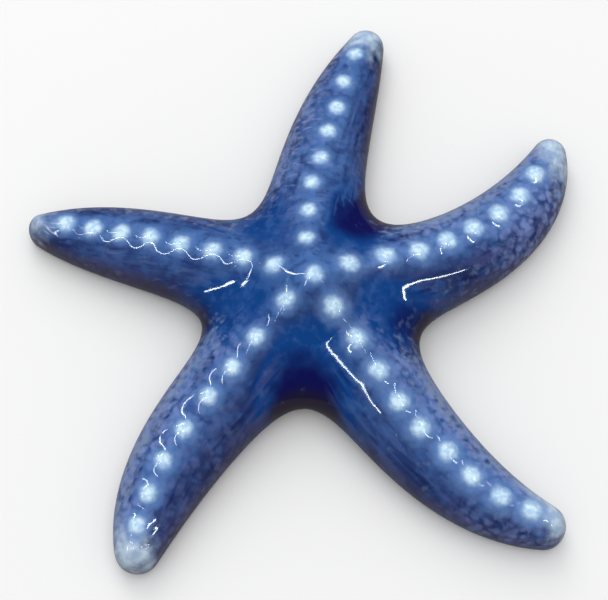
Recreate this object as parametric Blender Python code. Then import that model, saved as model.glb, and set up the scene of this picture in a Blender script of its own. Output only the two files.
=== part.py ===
"""A glazed ceramic starfish figurine: a low domed disc and five tapering, gently bent arms.

The figure is modelled whole, as a loft of ribs that run from each arm's middle line out to the
outline, down the side and back under the flat foot. Thin upright cuts then part it into its disc
and its five arms. A row of low round beads runs along every arm and is joined to it.
Units below are millimetres and degrees; the origin is under the middle of the disc, on the table.
"""
import bmesh
import bpy
import numpy as np
from mathutils import Matrix

MM = 0.001

# Heights
HUB_HEIGHT = 21.0        # the middle of the disc
TIP_HEIGHT = 8.5         # an arm's ridge at its tip
HUB_DOME = 0.35          # share of the rise that belongs to the round hub, the rest is a straight slope
HUB_REACH = 0.30         # size of that hub, as a share of an arm's length
WAIST = 0.34             # height of the widest level, as a share of the ridge's height
FOOT = 0.70              # half-width of the flat foot, as a share of the half-width at the waist

# Plan
WEB = 5.0                # softness of the curve that joins two arms
FAN_LENGTH = 40.0        # ribs turn square to an arm over this length from the hub
ROUNDNESS = 0.38         # power of the section, 0.5 is an ellipse and less is fuller
VALLEY_DEPTH = 2.2       # depth of the soft grooves between neighbouring arms
VALLEY_START = 4.0       # distance from the hub at which the grooves begin
VALLEY_FULL = 14.0       # distance from the hub at which they have their full depth

# Beads
BEAD_RADIUS = 2.15
BEAD_RISE = 0.60

# Parting and mesh
GAP = 0.30               # width of the cuts between the disc and the arms
CORNER_CLEARANCE = 0.60  # the cuts meet this far outside the outline
CUTTER_REACH = 120.0
CUTTER_TOP = 40.0
CUTTER_BOTTOM = -10.0
STATIONS = 13            # ribs from the hub to the end of an arm's middle line
TIP_RIBS = 4             # further ribs round each tip
TOP_ROWS = 7
SIDE_ROWS = 4

# The arms, counter-clockwise. An arm leaves the hub at its heading and turns by bend * u + curl * u * u,
# with u from 0 at the hub to 1 at the end of its middle line. Its half-width falls from root to tip as
# u to the power of fullness. Beads lie at these distances along it and this far to the left of the middle.
ARMS = {
    "arm_right": dict(heading=15.7, bend=-5.5, curl=64.0, length=72.5, root=10.0, tip=4.0, fullness=4.4,
                      beads=(8.2, 16.7, 24.3, 31.4, 38.4, 45.6, 52.8, 59.8),
                      sideways=(1.3, 1.8, 1.0, 1.1, 1.4, 1.0, 0.9, 1.1)),
    "arm_top": dict(heading=96.3, bend=-43.0, curl=13.5, length=72.0, root=10.4, tip=4.3, fullness=3.4,
                    beads=(9.7, 17.2, 24.6, 31.7, 39.3, 46.3, 53.8, 62.2),
                    sideways=(1.1, 0.9, 0.9, -0.1, 0.0, -0.3, 0.4, 0.7)),
    "arm_left": dict(heading=155.8, bend=15.0, curl=0.3, length=67.0, root=9.6, tip=3.3, fullness=4.7,
                     beads=(9.2, 16.5, 23.6, 31.0, 38.1, 44.8, 51.4, 57.8),
                     sideways=(0.4, 0.0, 0.3, 0.4, 0.0, 0.3, 0.3, -0.1)),
    "arm_low_left": dict(heading=229.7, bend=-19.0, curl=48.5, length=71.8, root=10.7, tip=4.8, fullness=4.2,
                         beads=(7.9, 17.5, 25.4, 33.2, 41.6, 49.2, 56.5, 63.2),
                         sideways=(-1.1, -0.9, -0.4, -0.5, -0.5, -0.9, -0.7, -0.6)),
    "arm_low_right": dict(heading=305.1, bend=-21.5, curl=58.0, length=75.2, root=10.8, tip=4.6, fullness=3.0,
                          beads=(7.9, 15.8, 23.8, 31.5, 38.4, 45.8, 52.7, 60.0, 66.8),
                          sideways=(-0.4, 0.2, 0.4, 0.0, 0.1, 0.8, 0.3, 0.3, 0.7)),
}

SPINE_POINTS = 61
CAST_REACH = 40.0
CAST_STEPS = 161


def spine(arm):
    """An arm's middle line: distances along it, points and directions (in radians)."""
    length = arm["length"] - arm["tip"]
    u = np.linspace(0.0, 1.0, SPINE_POINTS)
    angle = np.radians(arm["heading"] + arm["bend"] * u + arm["curl"] * u * u)
    middle = (angle[1:] + angle[:-1]) / 2
    step = length / (SPINE_POINTS - 1)
    points = np.zeros((SPINE_POINTS, 2))
    points[1:, 0] = np.cumsum(np.cos(middle)) * step
    points[1:, 1] = np.cumsum(np.sin(middle)) * step
    return u * length, points, angle


def half_width(arm, u):
    """Half-width of an arm at the share u of its middle line."""
    return arm["root"] + (arm["tip"] - arm["root"]) * u ** arm["fullness"]


def outside(points, spines):
    """Signed distance to the outline, each arm's share in it, and the nearest place on each arm's line.
    An arm is a chain of discs, and the arms are blended by a soft minimum."""
    distances, nearest = [], []
    for arm, (along, line, angle) in zip(ARMS.values(), spines):
        width = half_width(arm, along / along[-1])
        gap = np.linalg.norm(points[..., None, :] - line, axis=-1) - width
        nearest.append(gap.argmin(axis=-1))
        distances.append(gap.min(axis=-1))
    distances = np.array(distances)
    least = distances.min(axis=0)
    part = np.exp((least - distances) / WEB)
    total = part.sum(axis=0)
    return least - WEB * np.log(total), part / total, nearest


def ridge_height(radius, arm_length):
    """Height of the ridge at a distance from the hub: a straight slope with a rounded hub on it."""
    share = np.clip(radius / arm_length, 0.0, 1.2)
    rise = (1 - HUB_DOME) * (1 - share) + HUB_DOME * np.exp(-(share / HUB_REACH) ** 2)
    return TIP_HEIGHT + (HUB_HEIGHT - TIP_HEIGHT) * rise


def smooth(x):
    """Ease from 0 to 1."""
    x = np.clip(x, 0.0, 1.0)
    return x * x * (3 - 2 * x)


def surface(points, spines):
    """Ridge height and surface height over the plan: the section falls from the ridge to the waist as
    (1 - t^2)^ROUNDNESS, t from 0 on the middle lines to 1 at the outline, less the valley groove."""
    distance, share, nearest = outside(points, spines)
    depths = [-outside(line, spines)[0] for along, line, angle in spines]
    depth = sum(part * depth[place] for part, depth, place in zip(share, depths, nearest))
    t = np.clip(1 + distance / depth, 0.0, 1.0)
    radius = np.linalg.norm(points, axis=-1)
    crest = ridge_height(radius, sum(part * arm["length"] for part, arm in zip(share, ARMS.values())))
    waist = WAIST * crest
    between = 4 * (share * np.roll(share, -1, axis=0)).sum(axis=0)
    groove = VALLEY_DEPTH * between * smooth((radius - VALLEY_START) / (VALLEY_FULL - VALLEY_START))
    return crest, waist + (crest - waist - groove) * (1 - t * t) ** ROUNDNESS


def rib_length(feet, direction, spines):
    """Distance from each rib's foot on the middle line to the first crossing of the outline."""
    reach = np.linspace(0.0, CAST_REACH, CAST_STEPS)
    value = outside(feet[:, None] + reach[None, :, None] * direction[:, None], spines)[0]
    last = (value > 0).argmax(axis=1)
    row = np.arange(len(feet))
    before, after = value[row, last - 1], value[row, last]
    return reach[last - 1] + (reach[last] - reach[last - 1]) * before / (before - after)


def half_arm(line, side, half_gap, spines):
    """One side of an arm as a grid of points: ribs along it, and rows from the ridge to the underside."""
    along, points, angle = line
    distance = np.linspace(0.0, along[-1], STATIONS)
    share = np.clip(distance / FAN_LENGTH, 0.0, 1.0)
    turn = half_gap + (np.pi / 2 - half_gap) * (smooth(share) + share) / 2
    round_tip = np.pi / 2 * (1 - np.arange(1, TIP_RIBS + 1) / TIP_RIBS)
    feet = np.stack([np.interp(distance, along, points[:, k]) for k in (0, 1)], axis=1)
    feet = np.concatenate([feet, np.repeat(feet[-1:], TIP_RIBS, axis=0)])
    heading = np.concatenate([np.interp(distance, along, angle), np.repeat(angle[-1], TIP_RIBS)])
    heading = heading + side * np.concatenate([turn, round_tip])
    direction = np.stack([np.cos(heading), np.sin(heading)], axis=1)
    width = rib_length(feet, direction, spines)

    x = np.linspace(0.0, 1.0, TOP_ROWS)
    top = np.pi / 2 * (1 - (1 - x) ** (0.5 / ROUNDNESS))
    plan = feet[:, None] + (width[:, None] * np.sin(top))[..., None] * direction[:, None]
    crest, height = surface(plan, spines)
    waist = WAIST * crest
    height[:, -1] = waist[:, -1]
    top_points = np.concatenate([plan, height[..., None]], axis=2)

    under = np.linspace(0.0, np.pi / 2, SIDE_ROWS + 1)[1:]
    inward = FOOT + (1 - FOOT) * np.cos(under)
    plan = feet[:, None] + (width[:, None] * inward)[..., None] * direction[:, None]
    height = waist[:, -1:] * (1 - np.sin(under))
    side_points = np.concatenate([plan, height[..., None]], axis=2)
    foot_points = np.concatenate([feet, np.zeros((len(feet), 1))], axis=1)[:, None]
    return np.concatenate([top_points, side_points, foot_points], axis=1)


def grid_mesh(name, grids):
    """Join grids of points into one closed mesh: quads, merged where the grids share points."""
    points, faces = [], []
    for grid in grids:
        count, rows = grid.shape[:2]
        index = np.arange(count * rows).reshape(count, rows) + sum(len(part) for part in points)
        corners = [index[:-1, :-1], index[1:, :-1], index[1:, 1:], index[:-1, 1:]]
        faces.append(np.stack(corners, axis=2).reshape(-1, 4))
        points.append(grid.reshape(-1, 3))
    mesh = bpy.data.meshes.new(name)
    mesh.from_pydata((np.concatenate(points) * MM).tolist(), [], np.concatenate(faces).tolist())
    shape = bmesh.new()
    shape.from_mesh(mesh)
    bmesh.ops.remove_doubles(shape, verts=shape.verts, dist=0.00001)
    bmesh.ops.recalc_face_normals(shape, faces=shape.faces)
    shape.to_mesh(mesh)
    shape.free()
    return mesh


def bead_mesh(spines):
    """All the beads: flattened balls whose upper halves stand proud of the ridge."""
    places = [(0.0, 0.0)]
    for arm, (along, line, angle) in zip(ARMS.values(), spines):
        for distance, sideways in zip(arm["beads"], arm["sideways"]):
            heading = np.interp(distance, along, angle)
            x = np.interp(distance, along, line[:, 0]) - sideways * np.sin(heading)
            y = np.interp(distance, along, line[:, 1]) + sideways * np.cos(heading)
            places.append((x, y))
    height = surface(np.array(places), spines)[1]
    places = [(x, y, z) for (x, y), z in zip(places, height)]
    flat = Matrix.Diagonal((BEAD_RADIUS * MM, BEAD_RADIUS * MM, BEAD_RISE * MM, 1.0))
    shape = bmesh.new()
    for place in places:
        matrix = Matrix.Translation(np.array(place) * MM) @ flat
        bmesh.ops.create_uvsphere(shape, u_segments=10, v_segments=6, radius=1.0, matrix=matrix)
    mesh = bpy.data.meshes.new("beads")
    shape.to_mesh(mesh)
    shape.free()
    return mesh


def prism_mesh(name, outline):
    """An upright prism over a flat outline given in millimetres."""
    shape = bmesh.new()
    corners = [shape.verts.new((x * MM, y * MM, CUTTER_BOTTOM * MM)) for x, y in outline]
    base = shape.faces.new(corners)
    raised = bmesh.ops.extrude_face_region(shape, geom=[base])["geom"]
    lifted = [item for item in raised if isinstance(item, bmesh.types.BMVert)]
    bmesh.ops.translate(shape, verts=lifted, vec=(0.0, 0.0, (CUTTER_TOP - CUTTER_BOTTOM) * MM))
    bmesh.ops.recalc_face_normals(shape, faces=shape.faces)
    mesh = bpy.data.meshes.new(name)
    shape.to_mesh(mesh)
    shape.free()
    return mesh


def unit(vector):
    return vector / np.linalg.norm(vector)


def inset(outline, distance):
    """Move each side of a counter-clockwise outline inwards by a distance."""
    result = []
    for k, corner in enumerate(outline):
        before = unit(corner - outline[k - 1])
        after = unit(outline[(k + 1) % len(outline)] - corner)
        inward = np.array([[-before[1], before[0]], [-after[1], after[0]]])
        result.append(corner + np.linalg.solve(inward, np.full(2, distance)))
    return result


def glaze(name):
    """Cobalt glaze over a white body: glossy and mid blue."""
    material = bpy.data.materials.new(name + "_glaze")
    material.use_nodes = True
    shader = material.node_tree.nodes["Principled BSDF"]
    shader.inputs["Base Color"].default_value = (0.032, 0.080, 0.305, 1.0)
    shader.inputs["Metallic"].default_value = 0.0
    shader.inputs["Roughness"].default_value = 0.10
    return material


def boolean(item, operation, cutter):
    """Add an exact Boolean to an object."""
    modifier = item.modifiers.new(operation.lower() + "_" + cutter.name, "BOOLEAN")
    modifier.operation = operation
    modifier.object = cutter
    modifier.solver = "EXACT"


def guide(name, mesh, collection):
    """Add a hidden object that only cuts or joins the parts."""
    item = bpy.data.objects.new(name, mesh)
    item.hide_render = True
    item.display_type = "WIRE"
    collection.objects.link(item)
    return item


for leftover in list(bpy.data.objects):
    bpy.data.objects.remove(leftover, do_unlink=True)

figurine = bpy.data.collections.new("starfish_figurine")
cutters = bpy.data.collections.new("cutters")
bpy.context.scene.collection.children.link(figurine)
bpy.context.scene.collection.children.link(cutters)

names = list(ARMS)
lines = [spine(arm) for arm in ARMS.values()]

# The whole body: two half-arms for each arm, which meet their neighbours in the valleys.
half_grids = []
crotches = []
for k, name in enumerate(names):
    arm = ARMS[name]
    ahead = np.radians(ARMS[names[(k + 1) % 5]]["heading"] - arm["heading"]) % (2 * np.pi) / 2
    behind = np.radians(arm["heading"] - ARMS[names[k - 1]]["heading"]) % (2 * np.pi) / 2
    left_half = half_arm(lines[k], 1, ahead, lines)
    half_grids += [left_half, half_arm(lines[k], -1, behind, lines)[::-1]]
    crotches.append(left_half[0, TOP_ROWS - 1, :2])
body_mesh = grid_mesh("body", half_grids)
beads = guide("beads", bead_mesh(lines), cutters)

# The parting lines run from crotch to crotch, so each arm leaves the disc at its root.
corners = [crotch + CORNER_CLEARANCE * unit(crotch) for crotch in crotches]
outlines = {"disc": inset(corners, GAP / 2)}
for k, name in enumerate(names):
    start, end = corners[k - 1], corners[k]
    along_cut = unit(end - start)
    shift = GAP / 2 * np.array([along_cut[1], -along_cut[0]])
    far_start, far_end = CUTTER_REACH * unit(start), CUTTER_REACH * unit(end)
    outlines[name] = [start + shift, far_start, far_end, end + shift]

for name, outline in outlines.items():
    part = bpy.data.objects.new(name, body_mesh.copy())
    figurine.objects.link(part)
    part.data.materials.append(glaze(name))
    part.data.shade_smooth()
    part.data.set_sharp_from_angle(angle=np.radians(50))
    boolean(part, "UNION", beads)
    boolean(part, "INTERSECT", guide(name + "_cutter", prism_mesh(name + "_cutter", outline), cutters))
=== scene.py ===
"""A glazed ceramic starfish figurine: a cast and fired body with raised beads under a cobalt glaze."""

import bmesh
import bpy
import numpy as np
from mathutils import Matrix, Vector


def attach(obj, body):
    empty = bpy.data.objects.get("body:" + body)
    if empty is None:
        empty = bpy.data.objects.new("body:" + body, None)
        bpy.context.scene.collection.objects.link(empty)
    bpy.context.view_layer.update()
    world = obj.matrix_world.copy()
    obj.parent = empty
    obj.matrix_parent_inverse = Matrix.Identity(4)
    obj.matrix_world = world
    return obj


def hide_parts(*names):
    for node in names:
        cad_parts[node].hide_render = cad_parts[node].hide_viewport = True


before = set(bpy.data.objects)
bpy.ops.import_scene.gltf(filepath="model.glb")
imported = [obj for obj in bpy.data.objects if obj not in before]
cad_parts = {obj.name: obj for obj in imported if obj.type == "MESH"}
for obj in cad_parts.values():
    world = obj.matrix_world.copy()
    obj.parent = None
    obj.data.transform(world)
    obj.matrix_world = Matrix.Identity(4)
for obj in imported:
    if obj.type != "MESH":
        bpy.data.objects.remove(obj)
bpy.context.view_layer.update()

# ---------------------------------------------------------------------------------------------
# The fired body. The figurine is cast in one piece: a low domed disc with five tapering arms, an
# oval section, a rounded waist and a flat foot. One skin stands for the disc and all five arms.
# Sizes are in millimetres and degrees. The arms go round from the right arm by the top arm.
# ---------------------------------------------------------------------------------------------
MM = 0.001
HUB_HEIGHT = 21.0
TIP_HEIGHT = 8.5
HUB_DOME = 0.35
HUB_REACH = 0.30
WAIST = 0.34
FOOT = 0.70
WEB = 5.0
FAN_LENGTH = 40.0
ROUNDNESS = 0.38
VALLEY_DEPTH = 2.2
VALLEY_START = 4.0
VALLEY_FULL = 14.0

ARMS = [
    dict(heading=15.7, bend=-5.5, curl=64.0, length=72.5, root=10.0, tip=4.0, fullness=4.4),
    dict(heading=96.3, bend=-43.0, curl=13.5, length=72.0, root=10.4, tip=4.3, fullness=3.4),
    dict(heading=155.8, bend=15.0, curl=0.3, length=67.0, root=9.6, tip=3.3, fullness=4.7),
    dict(heading=229.7, bend=-19.0, curl=48.5, length=71.8, root=10.7, tip=4.8, fullness=4.2),
    dict(heading=305.1, bend=-21.5, curl=58.0, length=75.2, root=10.8, tip=4.6, fullness=3.0),
]
STATIONS = 140
TIP_RIBS = 17
TOP_ROWS = 52
SIDE_ROWS = 7
SPINE_POINTS = 121
LONGEST_RIB = 40.0
HALVINGS = 18


def spine(arm):
    """Middle line of an arm: at the share u of its length its direction is heading + bend u +
    curl u^2, and its half width is root + (tip - root) u^fullness."""
    length = arm["length"] - arm["tip"]
    u = np.linspace(0.0, 1.0, SPINE_POINTS)
    angle = np.radians(arm["heading"] + arm["bend"] * u + arm["curl"] * u * u)
    middle = (angle[1:] + angle[:-1]) / 2
    steps = np.stack([np.cos(middle), np.sin(middle)], axis=1) * length / (SPINE_POINTS - 1)
    points = np.concatenate([np.zeros((1, 2)), np.cumsum(steps, axis=0)])
    width = arm["root"] + (arm["tip"] - arm["root"]) * u ** arm["fullness"]
    return dict(along=u * length, points=points, angle=angle, width=width)


SPINES = [spine(arm) for arm in ARMS]


def arm_distances(points):
    """For each arm, the distance outside the discs strung on its line, and the nearest place on it."""
    distances, nearest = [], []
    for line in SPINES:
        gap = np.linalg.norm(points[..., None, :] - line["points"], axis=-1) - line["width"]
        nearest.append(gap.argmin(axis=-1))
        distances.append(gap.min(axis=-1))
    return np.array(distances), np.array(nearest)


def soft_minimum(distances):
    """Soft minimum over the arms, -WEB log(sum(exp(-d / WEB))), and each arm's share in that sum."""
    least = distances.min(axis=0)
    part = np.exp((least - distances) / WEB)
    total = part.sum(axis=0)
    return least - WEB * np.log(total), part / total


def outside(points):
    """Distance outside the outline, with the arms joined softly."""
    return soft_minimum(arm_distances(points)[0])[0]


def smooth(x):
    """Ease from 0 to 1: 3 x^2 - 2 x^3."""
    x = np.clip(x, 0.0, 1.0)
    return x * x * (3 - 2 * x)


def ridge_height(radius, arm_length):
    """Height of the ridge: a straight slope from hub to tip, with a bell exp(-(r / reach)^2) on it."""
    share = np.clip(radius / arm_length, 0.0, 1.2)
    lift = (1 - HUB_DOME) * (1 - share) + HUB_DOME * np.exp(-(share / HUB_REACH) ** 2)
    return TIP_HEIGHT + (HUB_HEIGHT - TIP_HEIGHT) * lift


DEPTHS = np.array([-outside(line["points"]) for line in SPINES])
LENGTHS = np.array([arm["length"] for arm in ARMS])


def section_place(points):
    """Where plan points lie: t grows from 0 on the middle lines to 1 at the outline. Also each arm's
    share, the nearest place on each middle line, and how far a point lies between each arm and the
    next one, 4 x share x next share."""
    distances, nearest = arm_distances(points)
    depth_outside, share = soft_minimum(distances)
    arm_depths = np.array([depth[place] for depth, place in zip(DEPTHS, nearest)])
    t = np.clip(1 + depth_outside / (share * arm_depths).sum(axis=0), 0.0, 1.0)
    between = 4 * share * np.roll(share, -1, axis=0)
    return t, share, nearest, between


def surface(points):
    """Crest height and surface height over the plan: waist + (crest - waist) (1 - t^2)^ROUNDNESS,
    less a soft groove between neighbouring arms."""
    t, share, _, between = section_place(points)
    radius = np.linalg.norm(points, axis=-1)
    length = np.tensordot(LENGTHS, share, axes=1)
    crest = ridge_height(radius, length)
    waist = WAIST * crest
    fade = smooth((radius - VALLEY_START) / (VALLEY_FULL - VALLEY_START))
    groove = VALLEY_DEPTH * between.sum(axis=0) * fade
    return crest, waist + (crest - waist - groove) * (1 - t * t) ** ROUNDNESS


def rib_length(feet, direction):
    """Distance from each rib's foot to the outline: the first crossing in whole millimetres, then
    halved down to it."""
    reach = np.arange(LONGEST_RIB + 1)
    value = outside(feet[:, None] + reach[None, :, None] * direction[:, None])
    high = reach[(value > 0).argmax(axis=1)]
    low = high - reach[1]
    for _ in range(HALVINGS):
        middle = (low + high) / 2
        crossed = outside(feet + middle[:, None] * direction) > 0
        high = np.where(crossed, middle, high)
        low = np.where(crossed, low, middle)
    return (low + high) / 2


def half_arm(arm, line, side, half_gap):
    """Grid over one side of an arm: ribs fan from the valley round to the tip, and rows run from the
    ridge over an oval to the waist, round under it to the foot and back to the middle."""
    distance = np.linspace(0.0, line["along"][-1], STATIONS)
    share = np.clip(distance / FAN_LENGTH, 0.0, 1.0)
    turn = half_gap + (np.pi / 2 - half_gap) * (smooth(share) + share) / 2
    round_tip = np.pi / 2 * (1 - np.arange(1, TIP_RIBS + 1) / TIP_RIBS)
    feet = [np.interp(distance, line["along"], line["points"][:, axis]) for axis in (0, 1)]
    feet = np.stack(feet, axis=1)
    feet = np.concatenate([feet, np.repeat(feet[-1:], TIP_RIBS, axis=0)])
    heading = np.concatenate([np.interp(distance, line["along"], line["angle"]),
                              np.repeat(line["angle"][-1], TIP_RIBS)])
    heading = heading + side * np.concatenate([turn, round_tip])
    direction = np.stack([np.cos(heading), np.sin(heading)], axis=1)
    width = rib_length(feet, direction)

    x = np.linspace(0.0, 1.0, TOP_ROWS)
    top = np.pi / 2 * (1 - (1 - x) ** (0.5 / ROUNDNESS))
    plan = feet[:, None] + (width[:, None] * np.sin(top))[..., None] * direction[:, None]
    crest, height = surface(plan)
    waist = WAIST * crest
    height[:, -1] = waist[:, -1]
    top_points = np.concatenate([plan, height[..., None]], axis=2)

    under = np.linspace(0.0, np.pi / 2, SIDE_ROWS + 1)[1:]
    inward = FOOT + (1 - FOOT) * np.cos(under)
    plan = feet[:, None] + (width[:, None] * inward)[..., None] * direction[:, None]
    height = waist[:, -1:] * (1 - np.sin(under))
    side_points = np.concatenate([plan, height[..., None]], axis=2)
    foot_points = np.concatenate([feet, np.zeros((len(feet), 1))], axis=1)[:, None]
    return np.concatenate([top_points, side_points, foot_points], axis=1)


grids = []
for k, (arm, line) in enumerate(zip(ARMS, SPINES)):
    ahead = (ARMS[(k + 1) % 5]["heading"] - arm["heading"]) % 360 / 2
    behind = (arm["heading"] - ARMS[k - 1]["heading"]) % 360 / 2
    grids.append(half_arm(arm, line, 1, np.radians(ahead)))
    grids.append(half_arm(arm, line, -1, np.radians(behind))[::-1])
grids = np.array(grids)
index = np.arange(grids[..., 0].size).reshape(grids.shape[:3])
corners = [index[:, :-1, :-1], index[:, 1:, :-1], index[:, 1:, 1:], index[:, :-1, 1:]]
faces = np.stack(corners, axis=3).reshape(-1, 4)

body_mesh = bpy.data.meshes.new("glazed_body")
body_mesh.from_pydata((grids.reshape(-1, 3) * MM).tolist(), [], faces.tolist())
joined = bmesh.new()
joined.from_mesh(body_mesh)
bmesh.ops.remove_doubles(joined, verts=joined.verts, dist=0.000001)
bmesh.ops.recalc_face_normals(joined, faces=joined.faces)
joined.to_mesh(body_mesh)
joined.free()
body_mesh.shade_smooth()
glazed_body = bpy.data.objects.new("glazed_body", body_mesh)
bpy.context.scene.collection.objects.link(glazed_body)

# ---------------------------------------------------------------------------------------------
# The beads. Dots of slip are set along every arm before firing, and the glaze runs thin over them.
# They are raised on the skin itself, because they are joined to the body: each is a bell
# exp(-d^2 / 2) of the distance from its middle, pushed out along the skin's normals.
# ---------------------------------------------------------------------------------------------
BEAD_RADIUS = 2.15
BEAD_SOFTNESS = 0.78
BEAD_RISE = 0.48
LOWEST_BEAD = 3.0
BEAD_ROWS = [
    dict(along=(8.2, 16.7, 24.3, 31.4, 38.4, 45.6, 52.8, 59.8),
         sideways=(1.3, 1.8, 1.0, 1.1, 1.4, 1.0, 0.9, 1.1)),
    dict(along=(9.7, 17.2, 24.6, 31.7, 39.3, 46.3, 53.8, 62.2),
         sideways=(1.1, 0.9, 0.9, -0.1, 0.0, -0.3, 0.4, 0.7)),
    dict(along=(9.2, 16.5, 23.6, 31.0, 38.1, 44.8, 51.4, 57.8),
         sideways=(0.4, 0.0, 0.3, 0.4, 0.0, 0.3, 0.3, -0.1)),
    dict(along=(7.9, 17.5, 25.4, 33.2, 41.6, 49.2, 56.5, 63.2),
         sideways=(-1.1, -0.9, -0.4, -0.5, -0.5, -0.9, -0.7, -0.6)),
    dict(along=(7.9, 15.8, 23.8, 31.5, 38.4, 45.8, 52.7, 60.0, 66.8),
         sideways=(-0.4, 0.2, 0.4, 0.0, 0.1, 0.8, 0.3, 0.3, 0.7)),
]


def bead_places():
    """Middles of all the beads: one on the hub, and each row's beads at their distances along the
    arm's line, moved sideways to its left by the second number."""
    found = [(0.0, 0.0)]
    for row, line in zip(BEAD_ROWS, SPINES):
        sideways = np.array(row["sideways"])
        heading = np.interp(row["along"], line["along"], line["angle"])
        x = np.interp(row["along"], line["along"], line["points"][:, 0])
        y = np.interp(row["along"], line["along"], line["points"][:, 1])
        found += list(zip(x - sideways * np.sin(heading), y + sideways * np.cos(heading)))
    return np.array(found)


beads = bead_places()

count = len(body_mesh.vertices)
skin = np.empty(count * 3)
normals = np.empty(count * 3)
body_mesh.vertices.foreach_get("co", skin)
body_mesh.vertex_normals.foreach_get("vector", normals)
skin = skin.reshape(-1, 3) / MM
normals = normals.reshape(-1, 3)
spread = np.linalg.norm(skin[:, None, :2] - beads, axis=2).min(axis=1) / BEAD_RADIUS
upper = skin[:, 2] > LOWEST_BEAD
bump = np.where(upper, np.exp(-0.5 * (spread / BEAD_SOFTNESS) ** 2), 0.0)
skin = skin + normals * (BEAD_RISE * bump)[:, None]
body_mesh.vertices.foreach_set("co", (skin * MM).ravel())
body_mesh.update()

# ---------------------------------------------------------------------------------------------
# The glaze. Cobalt glaze is brushed over the whole body: it pools navy between the arms, runs in
# dark streaks along the flanks, stays pale over the beads and tips, and breaks into flecks where it is
# thin. Shade is painted into its colour: dark on the flanks that fall away from the light, dark brown
# on their rims and near-black on the rims between the arms. The pale frost on the flanks towards the
# light is partly thin glaze and partly a painted reflection of the bright table.
# ---------------------------------------------------------------------------------------------
VALLEY_POOLS = (1.15, 0.50, 0.60, 1.35, 0.55)
VALLEY_TINTS = (0.65, 0.25, 0.35, 1.50, 0.35)
POOL_SPREAD = 0.85
SHADED_SIDE = np.array([0.42, -0.91])
RIDGE_WIDTH = 0.42
RIDGE_CLEARS_TINT = 0.6
EDGE_THINS_TIP = 0.35
FLECK_FADE = 0.25
ARM_SPACING = 0.05
NO_BEAD = 9.0

# Where each change starts and where it is full: across an arm, from its middle line at 0 to the
# outline at 1.
POOL_EDGE = (0.15, 0.50)
RUN_EDGE = (0.2, 0.6)
THIN_AND_SHEEN_EDGE = (0.25, 0.85)
FLANK_SHADE_EDGE = (0.3, 0.7)
TIP_EDGE = (0.5, 1.0)
RIM_EDGE = (0.78, 1.0)
# Across an arm from its right edge at -1 to its left edge at 1.
LEFT_SIDE = (-0.5, 0.5)
STREAK_SIDE = (-0.7, 0.3)
# Along an arm, as a share of its length.
THIN_AND_SHEEN_FADE = (0.12, 0.37)
ROOT_FADE = (0.46, 0.16)
FLANK_SHADE_FADE = (0.3, 0.6)
RIM_SHADE_FADE = (0.1, 0.5)
STREAK_START = (0.15, 0.40)
STREAK_END = (0.9, 0.6)
# Out from the hub and up from the table in millimetres, by an arm's share in the soft joint, and by
# the lean of the skin towards the shaded side.
TINT_REACH = (0.0, 12.0)
POOL_REACH = (5.0, 26.0)
FOOT_BARE = (0.45, 0.15)
RUN_SHARE = (0.6, 0.9)
SHADE_LEAN = (-0.02, 0.50)

# What the brush did on each arm: the sizes of its beads and halos, how far the pale tip reaches and
# leans over, how strong each effect is on the left and right flank, and where the flecks start. The
# shade values are not the brush's: they say how much painted shade lies on the flanks and rims, and
# the pale frost is partly a painted reflection.
GLAZED_ARMS = [
    dict(bead_size=1.13, halo_size=1.25, tip_reach=17.0, tip_skew=-0.30, tip_wash=1.0,
         fleck_left=(0.15, 0.90), fleck_right=(0.55, 1.00), thin_left=0.95, thin_right=0.25,
         root_left=0.0, root_right=0.0, streaks=0.0, rim_shade=0.45, shade=0.95,
         dusk_left=0.0, dusk_right=0.0),
    dict(bead_size=0.95, halo_size=1.00, tip_reach=15.5, tip_skew=0.05, tip_wash=1.0,
         fleck_left=(0.10, 0.45), fleck_right=(0.35, 0.12), thin_left=0.60, thin_right=0.15,
         root_left=0.0, root_right=0.80, streaks=0.8, rim_shade=0.60, shade=0.90,
         dusk_left=0.35, dusk_right=0.0),
    dict(bead_size=1.05, halo_size=1.05, tip_reach=12.0, tip_skew=0.0, tip_wash=0.72,
         fleck_left=(0.60, 0.10), fleck_right=(0.50, 0.15), thin_left=0.0, thin_right=0.40,
         root_left=0.0, root_right=0.0, streaks=0.2, rim_shade=1.00, shade=0.75,
         dusk_left=0.20, dusk_right=0.60),
    dict(bead_size=0.98, halo_size=1.10, tip_reach=14.0, tip_skew=-0.12, tip_wash=0.95,
         fleck_left=(0.45, 0.22), fleck_right=(0.20, 0.80), thin_left=0.0, thin_right=0.85,
         root_left=0.30, root_right=0.0, streaks=0.0, rim_shade=0.60, shade=0.90,
         dusk_left=0.0, dusk_right=0.0),
    dict(bead_size=1.10, halo_size=1.35, tip_reach=13.0, tip_skew=0.6, tip_wash=1.0,
         fleck_left=(0.10, 0.80), fleck_right=(0.72, 0.60), thin_left=0.90, thin_right=0.0,
         root_left=0.0, root_right=0.0, streaks=0.0, rim_shade=0.35, shade=0.85,
         dusk_left=0.0, dusk_right=0.0),
]


def rise(value, limits):
    """Ease from 0 at the first limit to 1 at the second, which may be the lower one."""
    start, full = limits
    return smooth((value - start) / (full - start))


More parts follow.
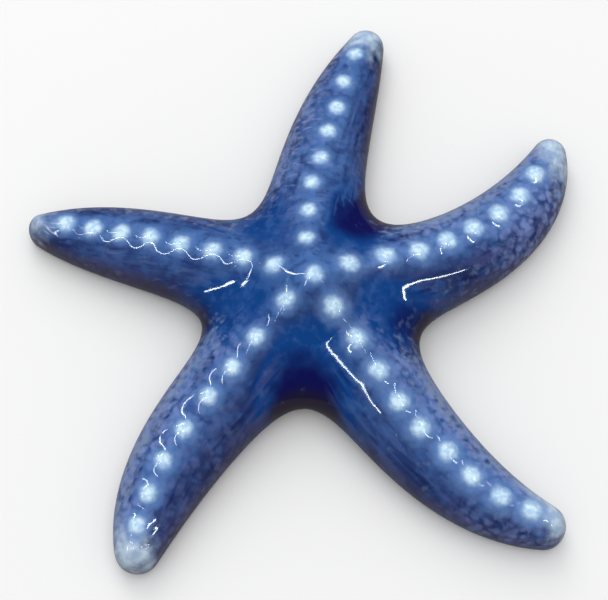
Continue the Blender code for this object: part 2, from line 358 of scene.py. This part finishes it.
def arm_coat(arm, line, look, place, points):
    """One arm's coat over all the points, from the share u of the arm's length and the side of its
    middle line, which runs from -1 on the right edge to 1 on the left."""
    heading = line["angle"][place]
    offset = points - line["points"][place]
    ahead = offset[:, 0] * np.cos(heading) + offset[:, 1] * np.sin(heading)
    across = offset[:, 1] * np.cos(heading) - offset[:, 0] * np.sin(heading)
    along = line["along"][place] + np.maximum(ahead, 0) * (place == SPINE_POINTS - 1)
    side = np.clip(across / line["width"][place], -1, 1)
    left = rise(side, LEFT_SIDE)
    u = along / arm["length"]
    reach = look["tip_reach"]
    to_tip = arm["length"] - along - look["tip_skew"] * side * reach
    streaked = rise(side, STREAK_SIDE) * rise(u, STREAK_START) * rise(u, STREAK_END)
    # The shade values here are painted shade, put into the glaze's colour on flanks that face away
    # from the light.
    coat = dict(fleck=0, thin=0, pool=0, dusk=0, shade=look["shade"],
                tip=look["tip_wash"] * smooth((reach - to_tip) / reach),
                rim_shade=look["rim_shade"] * rise(u, RIM_SHADE_FADE), streak=look["streaks"] * streaked)
    for amount, flank in ((left, "left"), (1 - left, "right")):
        start, strength = look["fleck_" + flank]
        coat["fleck"] += amount * strength * smooth((u - start) / FLECK_FADE + 0.5)
        coat["thin"] += amount * look["thin_" + flank] * rise(u, THIN_AND_SHEEN_FADE)
        coat["pool"] += amount * look["root_" + flank] * rise(u, ROOT_FADE)
        coat["dusk"] += amount * look["dusk_" + flank] * rise(u, FLANK_SHADE_FADE)
    return coat, along, across


def glaze_fields(points, slope):
    """Where the glaze changes, as one value per point. The arms' coats are added up, each times the
    arm's share in the soft joint, and then the valleys, ridge, rim and shaded side change them."""
    t, share, nearest, between = section_place(points)
    radius = np.linalg.norm(points, axis=-1)
    owner = share.argmax(axis=0)
    fields = dict(along=0, across=0, owner=owner * ARM_SPACING)
    for number, (arm, line, look) in enumerate(zip(ARMS, SPINES, GLAZED_ARMS)):
        coat, along, across = arm_coat(arm, line, look, nearest[number], points)
        for name, value in coat.items():
            fields[name] = fields.get(name, 0) + share[number] * value
        fields["along"] += (owner == number) * along * MM
        fields["across"] += (owner == number) * across * MM
    valleys = between ** POOL_SPREAD
    pools = np.tensordot(VALLEY_POOLS, valleys, axes=1) * rise(radius, POOL_REACH)
    tints = np.tensordot(VALLEY_TINTS, valleys, axes=1) * rise(radius, TINT_REACH)
    fields["ridge"] = np.exp(-(t / RIDGE_WIDTH) ** 2)
    fields["pool"] = fields["pool"] * rise(t, POOL_EDGE) + pools
    fields["tint"] = (tints + fields["pool"]) * (1 - RIDGE_CLEARS_TINT * fields["ridge"])
    # Painted shade: the flanks leaning towards the shaded side, and the far flanks of some arms, are
    # darkened.
    fields["dusk"] *= rise(t, FLANK_SHADE_EDGE)
    fields["shade"] *= rise(slope @ SHADED_SIDE, SHADE_LEAN)
    fields["shade"] = np.maximum(fields["shade"], fields.pop("dusk"))
    fields["rim"] = rise(t, RIM_EDGE)
    fields["run"] = rise(share.max(axis=0), RUN_SHARE) * rise(t, RUN_EDGE)
    fields["tip"] *= 1 - EDGE_THINS_TIP * rise(t, TIP_EDGE)
    # The pale frost, partly thin glaze and partly a painted reflection, grows towards the outline.
    fields["thin"] *= rise(t, THIN_AND_SHEEN_EDGE)
    return fields


fields = glaze_fields(skin[:, :2], normals[:, :2])
gaps = np.linalg.norm(skin[:, None, :2] - beads, axis=2) / BEAD_RADIUS
for name in ("bead", "halo"):
    sizes = [[look[name + "_size"]] * len(row["along"]) for row, look in zip(BEAD_ROWS, GLAZED_ARMS)]
    fields[name] = np.where(upper, (gaps / np.concatenate([[1.0]] + sizes)).min(axis=1), NO_BEAD)
fields["bare"] = rise(skin[:, 2], FOOT_BARE)
for name, values in fields.items():
    layer = body_mesh.attributes.new(name, "FLOAT", "POINT")
    layer.data.foreach_set("value", np.asarray(values, dtype=np.float32))

BLOTCHES_PER_SIZE = 0.7
glaze = bpy.data.materials.new("cobalt_glaze")
glaze.use_nodes = True
tree = glaze.node_tree
shader = tree.nodes["Principled BSDF"]
place = tree.nodes.new("ShaderNodeTexCoord").outputs["Object"]


def field(name):
    """One of the skin's own fields, as a value."""
    node = tree.nodes.new("ShaderNodeAttribute")
    node.attribute_name = name
    return node.outputs["Fac"]


def put(socket, value):
    """Link another node's output into a socket, or write a plain value there."""
    if isinstance(value, bpy.types.NodeSocket):
        tree.links.new(value, socket)
    else:
        socket.default_value = value


def sums(operation, first, second=0.0, third=0.0):
    """A sum, product or other simple working of up to three values."""
    node = tree.nodes.new("ShaderNodeMath")
    node.operation = operation
    for socket, value in zip(node.inputs, (first, second, third)):
        put(socket, value)
    return node.outputs[0]


def ease(value, low, high, top=1.0):
    """Smooth step: 0 at low, top at high. Low may be the larger number."""
    node = tree.nodes.new("ShaderNodeMapRange")
    node.interpolation_type = "SMOOTHSTEP"
    for name, number in (("Value", value), ("From Min", low), ("From Max", high), ("To Max", top)):
        put(node.inputs[name], number)
    return node.outputs[0]


def times(*values):
    """Product of several values."""
    product = values[0]
    for value in values[1:]:
        product = sums("MULTIPLY", product, value)
    return product


def blend(amount, under, over):
    """Colour mix: under at 0, over at 1."""
    node = tree.nodes.new("ShaderNodeMix")
    node.data_type = "RGBA"
    put(node.inputs[0], amount)
    for socket, tone in ((node.inputs[6], under), (node.inputs[7], over)):
        put(socket, tone if isinstance(tone, bpy.types.NodeSocket) else (*tone, 1))
    return node.outputs[2]


def cloud(size, detail=2.0, stretch=(1, 1, 1), shift=0.0, warp=0.0, at=place):
    """Soft noise from 0 to 1, with blotches about `size` mm across, longer along the axes that have
    a stretch above 1. The shift picks another part of the noise, and the warp makes it swirl."""
    mapping = tree.nodes.new("ShaderNodeMapping")
    mapping.inputs["Location"].default_value = (shift, shift, shift)
    mapping.inputs["Scale"].default_value = [1 / (size * MM * k) for k in stretch]
    put(mapping.inputs["Vector"], at)
    node = tree.nodes.new("ShaderNodeTexNoise")
    put(node.inputs["Vector"], mapping.outputs[0])
    put(node.inputs["Scale"], BLOTCHES_PER_SIZE)
    put(node.inputs["Detail"], detail)
    put(node.inputs["Distortion"], warp)
    return node.outputs["Fac"]


def waver(spread, size, detail, shift):
    """Noise about 0, up to half of the spread either way."""
    return sums("MULTIPLY", sums("SUBTRACT", cloud(size, detail, shift=shift), 0.5), spread)


DEEP = (0.016, 0.044, 0.180)
MIDDLE = (0.038, 0.092, 0.290)
LIGHT = (0.063, 0.156, 0.410)
AZURE = (0.003, 0.052, 0.240)
NAVY = (0.003, 0.004, 0.085)
# Painted shade: the colour of the flanks that fall away from the light.
PAINTED_SHADE = (0.020, 0.034, 0.125)
VEIL = (0.050, 0.140, 0.390)
VIOLET = (0.055, 0.055, 0.180)
NIGHT = (0.006, 0.012, 0.085)
# Painted shade: dark brown for the rims of the shaded flanks, and near-black for the rims between the
# arms.
RIM_SHADE = (0.030, 0.020, 0.050)
CROTCH_SHADE = (0.014, 0.010, 0.028)
# Pale frost: partly thin glaze, and partly a painted reflection of the bright table on the flanks
# towards the light.
FROST_AND_SHEEN = (0.200, 0.270, 0.430)
FLECK = (0.205, 0.280, 0.595)
BEAD_THIN = (0.450, 0.660, 0.920)
BEAD = (0.680, 0.890, 1.000)
HALO = (0.150, 0.280, 0.580)
TIP_THIN = (0.390, 0.530, 0.720)
TIP = (0.620, 0.760, 0.890)
CLAY = (0.700, 0.640, 0.540)

# The ground coat: three depths of cobalt in blotches, paler along the ridges, with painted shade on
# the flanks that fall away on the shaded side.
colour = blend(ease(cloud(9.0, 3.0), 0.34, 0.66), DEEP, MIDDLE)
colour = blend(ease(cloud(2.6, 4.0, shift=4.0), 0.44, 0.65, 0.70), colour, LIGHT)
glow = times(field("ridge"), ease(cloud(5.0, 2.0, shift=9.0), 0.25, 0.60, 0.9))
colour = blend(glow, colour, LIGHT)
colour = blend(ease(cloud(1.5, 4.0, shift=25.0, warp=0.3), 0.48, 0.66, 0.70), colour, DEEP)
# Painted shade on the flanks that fall away from the light.
colour = blend(field("shade"), colour, PAINTED_SHADE)

# Azure and then navy where the glaze pools in the valleys, with a paler veil on the shallow pools.
wobble = waver(0.5, 4.0, 2.0, 2.0)
pool = sums("ADD", field("pool"), wobble)
colour = blend(ease(sums("ADD", field("tint"), wobble), 0.20, 0.75), colour, AZURE)
colour = blend(ease(pool, 0.45, 0.95), colour, NAVY)
veil = ease(cloud(2.2, 4.0, shift=51.0, warp=0.4), 0.48, 0.66, 0.35)
colour = blend(times(veil, ease(pool, 0.90, 0.35)), colour, VEIL)

# Violet and night-blue runs drawn out along each arm. The pale runs are light blue, and violet
# where the painted shade lies.
arm_place = tree.nodes.new("ShaderNodeCombineXYZ")
for socket, name in zip(arm_place.inputs, ("along", "across", "owner")):
    put(socket, field(name))
trail = cloud(1.1, 3.0, stretch=(6.0, 1.0, 1.0), warp=0.4, at=arm_place.outputs[0])
violet = blend(field("shade"), LIGHT, VIOLET)
colour = blend(times(ease(trail, 0.51, 0.66, 0.65), field("run")), colour, violet)
colour = blend(times(ease(trail, 0.49, 0.35, 0.75), field("run")), colour, NIGHT)

# Pale frost on the flanks towards the light, partly worn-thin glaze and partly a painted reflection
# of the bright table. Painted shade: dark brown on the rims of the shaded flanks, and near-black on
# the rims between the arms.
worn_and_sheen = ease(sums("ADD", field("thin"), waver(2.4, 1.2, 4.0, 3.0)), 0.20, 1.15, 0.9)
colour = blend(times(worn_and_sheen, ease(field("thin"), 0.02, 0.30)), colour, FROST_AND_SHEEN)
# Painted shade: dark brown along the rims of the shaded flanks.
colour = blend(times(field("rim_shade"), field("shade"), field("rim")), colour, RIM_SHADE)
# Painted shade: near-black along the rims between the arms, where the glaze pools.
colour = blend(times(ease(field("pool"), 0.35, 0.80), field("rim")), colour, CROTCH_SHADE)

# Pale flecks: rounded cells with wavy edges, and short threads between them, in patches.
FLECK_CELLS_PER_METRE = 560.0
FLECK_WAVES_PER_METRE = 420.0
FLECK_WAVE = 1.6
cell_noise = tree.nodes.new("ShaderNodeTexNoise")
put(cell_noise.inputs["Vector"], place)
put(cell_noise.inputs["Scale"], FLECK_WAVES_PER_METRE)
cell_place = tree.nodes.new("ShaderNodeVectorMath")
cell_place.operation = "MULTIPLY_ADD"
put(cell_place.inputs[0], cell_noise.outputs["Color"])
put(cell_place.inputs[1], [FLECK_WAVE * MM] * 3)
put(cell_place.inputs[2], place)
cells = tree.nodes.new("ShaderNodeTexVoronoi")
cells.feature = "SMOOTH_F1"
put(cells.inputs["Vector"], cell_place.outputs[0])
put(cells.inputs["Scale"], FLECK_CELLS_PER_METRE)
put(cells.inputs["Smoothness"], 0.5)
patches = times(ease(cloud(2.6, 2.5, shift=7.0, warp=0.5), 0.40, 0.60), 0.55)
spots = times(ease(cells.outputs["Distance"], 0.72, 0.25), sums("ADD", patches, 0.45))
threads = ease(cloud(1.9, 2.0, shift=13.0, warp=0.6), 0.52, 0.72, 0.7)
flecks = times(sums("MAXIMUM", spots, threads), field("fleck"), ease(pool, 0.65, 0.25), 0.85)
colour = blend(flecks, colour, FLECK)
streaks = ease(cloud(1.1, 1.0, stretch=(4.0, 0.8, 1.0), shift=21.0), 0.58, 0.72, 0.8)
colour = blend(times(streaks, field("streak")), colour, FLECK)

# Milky tips, pale slip on the beads with a blue halo round each, and the bare foot.
milk = blend(ease(cloud(1.7, 3.0, shift=41.0), 0.38, 0.62), TIP_THIN, TIP)
tip_edge = sums("ADD", field("tip"), waver(1.1, 1.9, 4.0, 5.0))
colour = blend(ease(tip_edge, 0.10, 0.95, 0.90), colour, milk)
halo_edge = sums("ADD", field("halo"), waver(0.8, 1.3, 2.0, 17.0))
colour = blend(ease(halo_edge, 1.8, 0.7, 0.6), colour, HALO)
slip = blend(ease(cloud(0.7, 2.0, shift=33.0), 0.38, 0.62), BEAD_THIN, BEAD)
bead_edge = sums("ADD", field("bead"), waver(0.5, 1.3, 2.0, 17.0))
colour = blend(ease(bead_edge, 1.18, 0.30), colour, slip)
colour = blend(field("bare"), colour, CLAY)
put(shader.inputs["Base Color"], colour)

# A wet gloss with a fine ripple in it, and a rough foot.
GLOSS_ROUGHNESS = 0.025
GLOSS_CHANGE = 0.05
CLAY_ROUGHNESS = 0.8
RIPPLE_DEPTH = 0.12
gloss = sums("ADD", times(cloud(6.0, 2.0, shift=30.0), GLOSS_CHANGE), GLOSS_ROUGHNESS)
put(shader.inputs["Roughness"], sums("MAXIMUM", gloss, times(field("bare"), CLAY_ROUGHNESS)))
ripple = tree.nodes.new("ShaderNodeBump")
put(ripple.inputs["Height"], cloud(4.5, 1.0, shift=11.0))
put(ripple.inputs["Strength"], 0.35)
put(ripple.inputs["Distance"], RIPPLE_DEPTH * MM)
put(shader.inputs["Normal"], ripple.outputs[0])
body_mesh.materials.append(glaze)
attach(glazed_body, "root")
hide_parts("disc", "arm_right", "arm_top", "arm_left", "arm_low_left", "arm_low_right")

# ---------------------------------------------------------------------------------------------
# The table top. A wide sheet of white paper that the figurine stands on, pale to look at and duller
# where the glaze mirrors it.
# ---------------------------------------------------------------------------------------------
TABLE_REACH = 2.0
PAPER_SEEN = (0.9, 0.9, 0.9, 1)
PAPER_MIRRORED = (0.28, 0.26, 0.25, 1)

sheet = [(x * TABLE_REACH, y * TABLE_REACH, 0) for x, y in ((-1, -1), (1, -1), (1, 1), (-1, 1))]
floor_mesh = bpy.data.meshes.new("table_top")
floor_mesh.from_pydata(sheet, [], [(0, 1, 2, 3)])
table_top = bpy.data.objects.new("table_top", floor_mesh)
bpy.context.scene.collection.objects.link(table_top)
paper = bpy.data.materials.new("white_paper")
paper.use_nodes = True
nodes, links = paper.node_tree.nodes, paper.node_tree.links
paper_tone = nodes.new("ShaderNodeMix")
paper_tone.data_type = "RGBA"
paper_tone.inputs[6].default_value = PAPER_MIRRORED
paper_tone.inputs[7].default_value = PAPER_SEEN
links.new(nodes.new("ShaderNodeLightPath").outputs["Is Camera Ray"], paper_tone.inputs[0])
links.new(paper_tone.outputs[2], nodes["Principled BSDF"].inputs["Base Color"])
floor_mesh.materials.append(paper)

# ---------------------------------------------------------------------------------------------
# The studio light. White walls all round that are dim in the glaze, narrow tubes and strips that
# only the glaze mirrors, and two softboxes, out of the glaze's sight, that give the soft light.
# ---------------------------------------------------------------------------------------------
WALLS = 0.66
WALLS_MIRRORED = 0.06
TUBE_RADIANCE = 34
TUBE_COLOUR = (0.88, 0.97, 1.0)

world = bpy.data.worlds.new("studio")
world.use_nodes = True
nodes, links = world.node_tree.nodes, world.node_tree.links
walls = nodes["Background"]
walls_mirrored = nodes.new("ShaderNodeBackground")
for wall, strength in ((walls, WALLS), (walls_mirrored, WALLS_MIRRORED)):
    wall.inputs["Color"].default_value = (1, 1, 1, 1)
    wall.inputs["Strength"].default_value = strength
choose = nodes.new("ShaderNodeMixShader")
links.new(nodes.new("ShaderNodeLightPath").outputs["Is Glossy Ray"], choose.inputs[0])
links.new(walls.outputs[0], choose.inputs[1])
links.new(walls_mirrored.outputs[0], choose.inputs[2])
links.new(choose.outputs[0], nodes["World Output"].inputs[0])
bpy.context.scene.world = world
bpy.context.scene.view_settings.view_transform = "Standard"


def lamp(name, start, end, width, radiance):
    """A flat area light from start to end, in metres from the hub's foot, facing the figurine. Its
    power follows from its radiance: pi x area x radiance."""
    start, end = Vector(start), Vector(end)
    back = (start + end).normalized()
    side = (end - start).normalized()
    side = (side - back * side.dot(back)).normalized()
    data = bpy.data.lights.new(name, "AREA")
    data.shape = "RECTANGLE"
    data.size = (end - start).length
    data.size_y = width
    data.energy = np.pi * data.size * width * radiance
    item = bpy.data.objects.new(name, data)
    item.location = (start + end) / 2
    item.rotation_euler = Matrix((side, back.cross(side), back)).transposed().to_euler()
    bpy.context.scene.collection.objects.link(item)
    return item


def tube(name, start, end, width):
    """A narrow lamp that the glaze mirrors, and that casts no soft light."""
    item = lamp(name, start, end, width, TUBE_RADIANCE)
    item.data.color = TUBE_COLOUR
    item.visible_diffuse = False


def softbox(name, start, end, width, radiance):
    """A wide lamp that lights everything softly, and that the glaze doesn't mirror."""
    item = lamp(name, start, end, width, radiance)
    item.visible_glossy = False


tube("tube_south_west", (-0.478, -0.312, 0.695), (-0.286, -0.324, 0.789), 0.012)
tube("tube_west", (-0.636, 0.0, 0.636), (-0.263, 0.0, 0.861), 0.014)
tube("tube_far_west", (-0.697, -0.406, 0.400), (-0.600, -0.130, 0.660), 0.014)
tube("tube_north_west", (-0.612, 0.318, 0.578), (-0.325, 0.398, 0.739), 0.014)
tube("tube_north_east", (0.213, 0.334, 0.808), (0.433, 0.194, 0.765), 0.014)
tube("strip_east", (0.363, -0.182, 0.803), (0.366, 0.0, 0.822), 0.018)
tube("strip_south_east", (0.530, -0.290, 0.655), (0.660, -0.280, 0.550), 0.020)
softbox("softbox_north", (-0.55, 0.75, 0.70), (0.15, 0.75, 0.70), 0.7, 2.1)
softbox("softbox_above", (-0.5, 0.0, 1.0), (0.5, 0.0, 1.0), 1.0, 0.95)

# ---------------------------------------------------------------------------------------------
# The camera. It looks down steeply at the figurine from the near side, a third of a metre off,
# through a long lens. The tilt is measured from straight down.
# ---------------------------------------------------------------------------------------------
CAMERA_LENS = 91.6
CAMERA_SENSOR = 36.0
CAMERA_TILT = 23.0
CAMERA_DISTANCE = 340.0
CAMERA_TARGET = (-2.17, 0.27, 6.0)

camera_data = bpy.data.cameras.new("camera")
camera_data.lens = CAMERA_LENS
camera_data.sensor_width = CAMERA_SENSOR
camera = bpy.data.objects.new("camera", camera_data)
tilt = np.radians(CAMERA_TILT)
back = Vector((0.0, -np.sin(tilt), np.cos(tilt)))
camera.location = Vector(CAMERA_TARGET) * MM + back * (CAMERA_DISTANCE * MM)
camera.rotation_euler = back.to_track_quat("Z", "Y").to_euler()
bpy.context.scene.collection.objects.link(camera)
bpy.context.scene.camera = camera
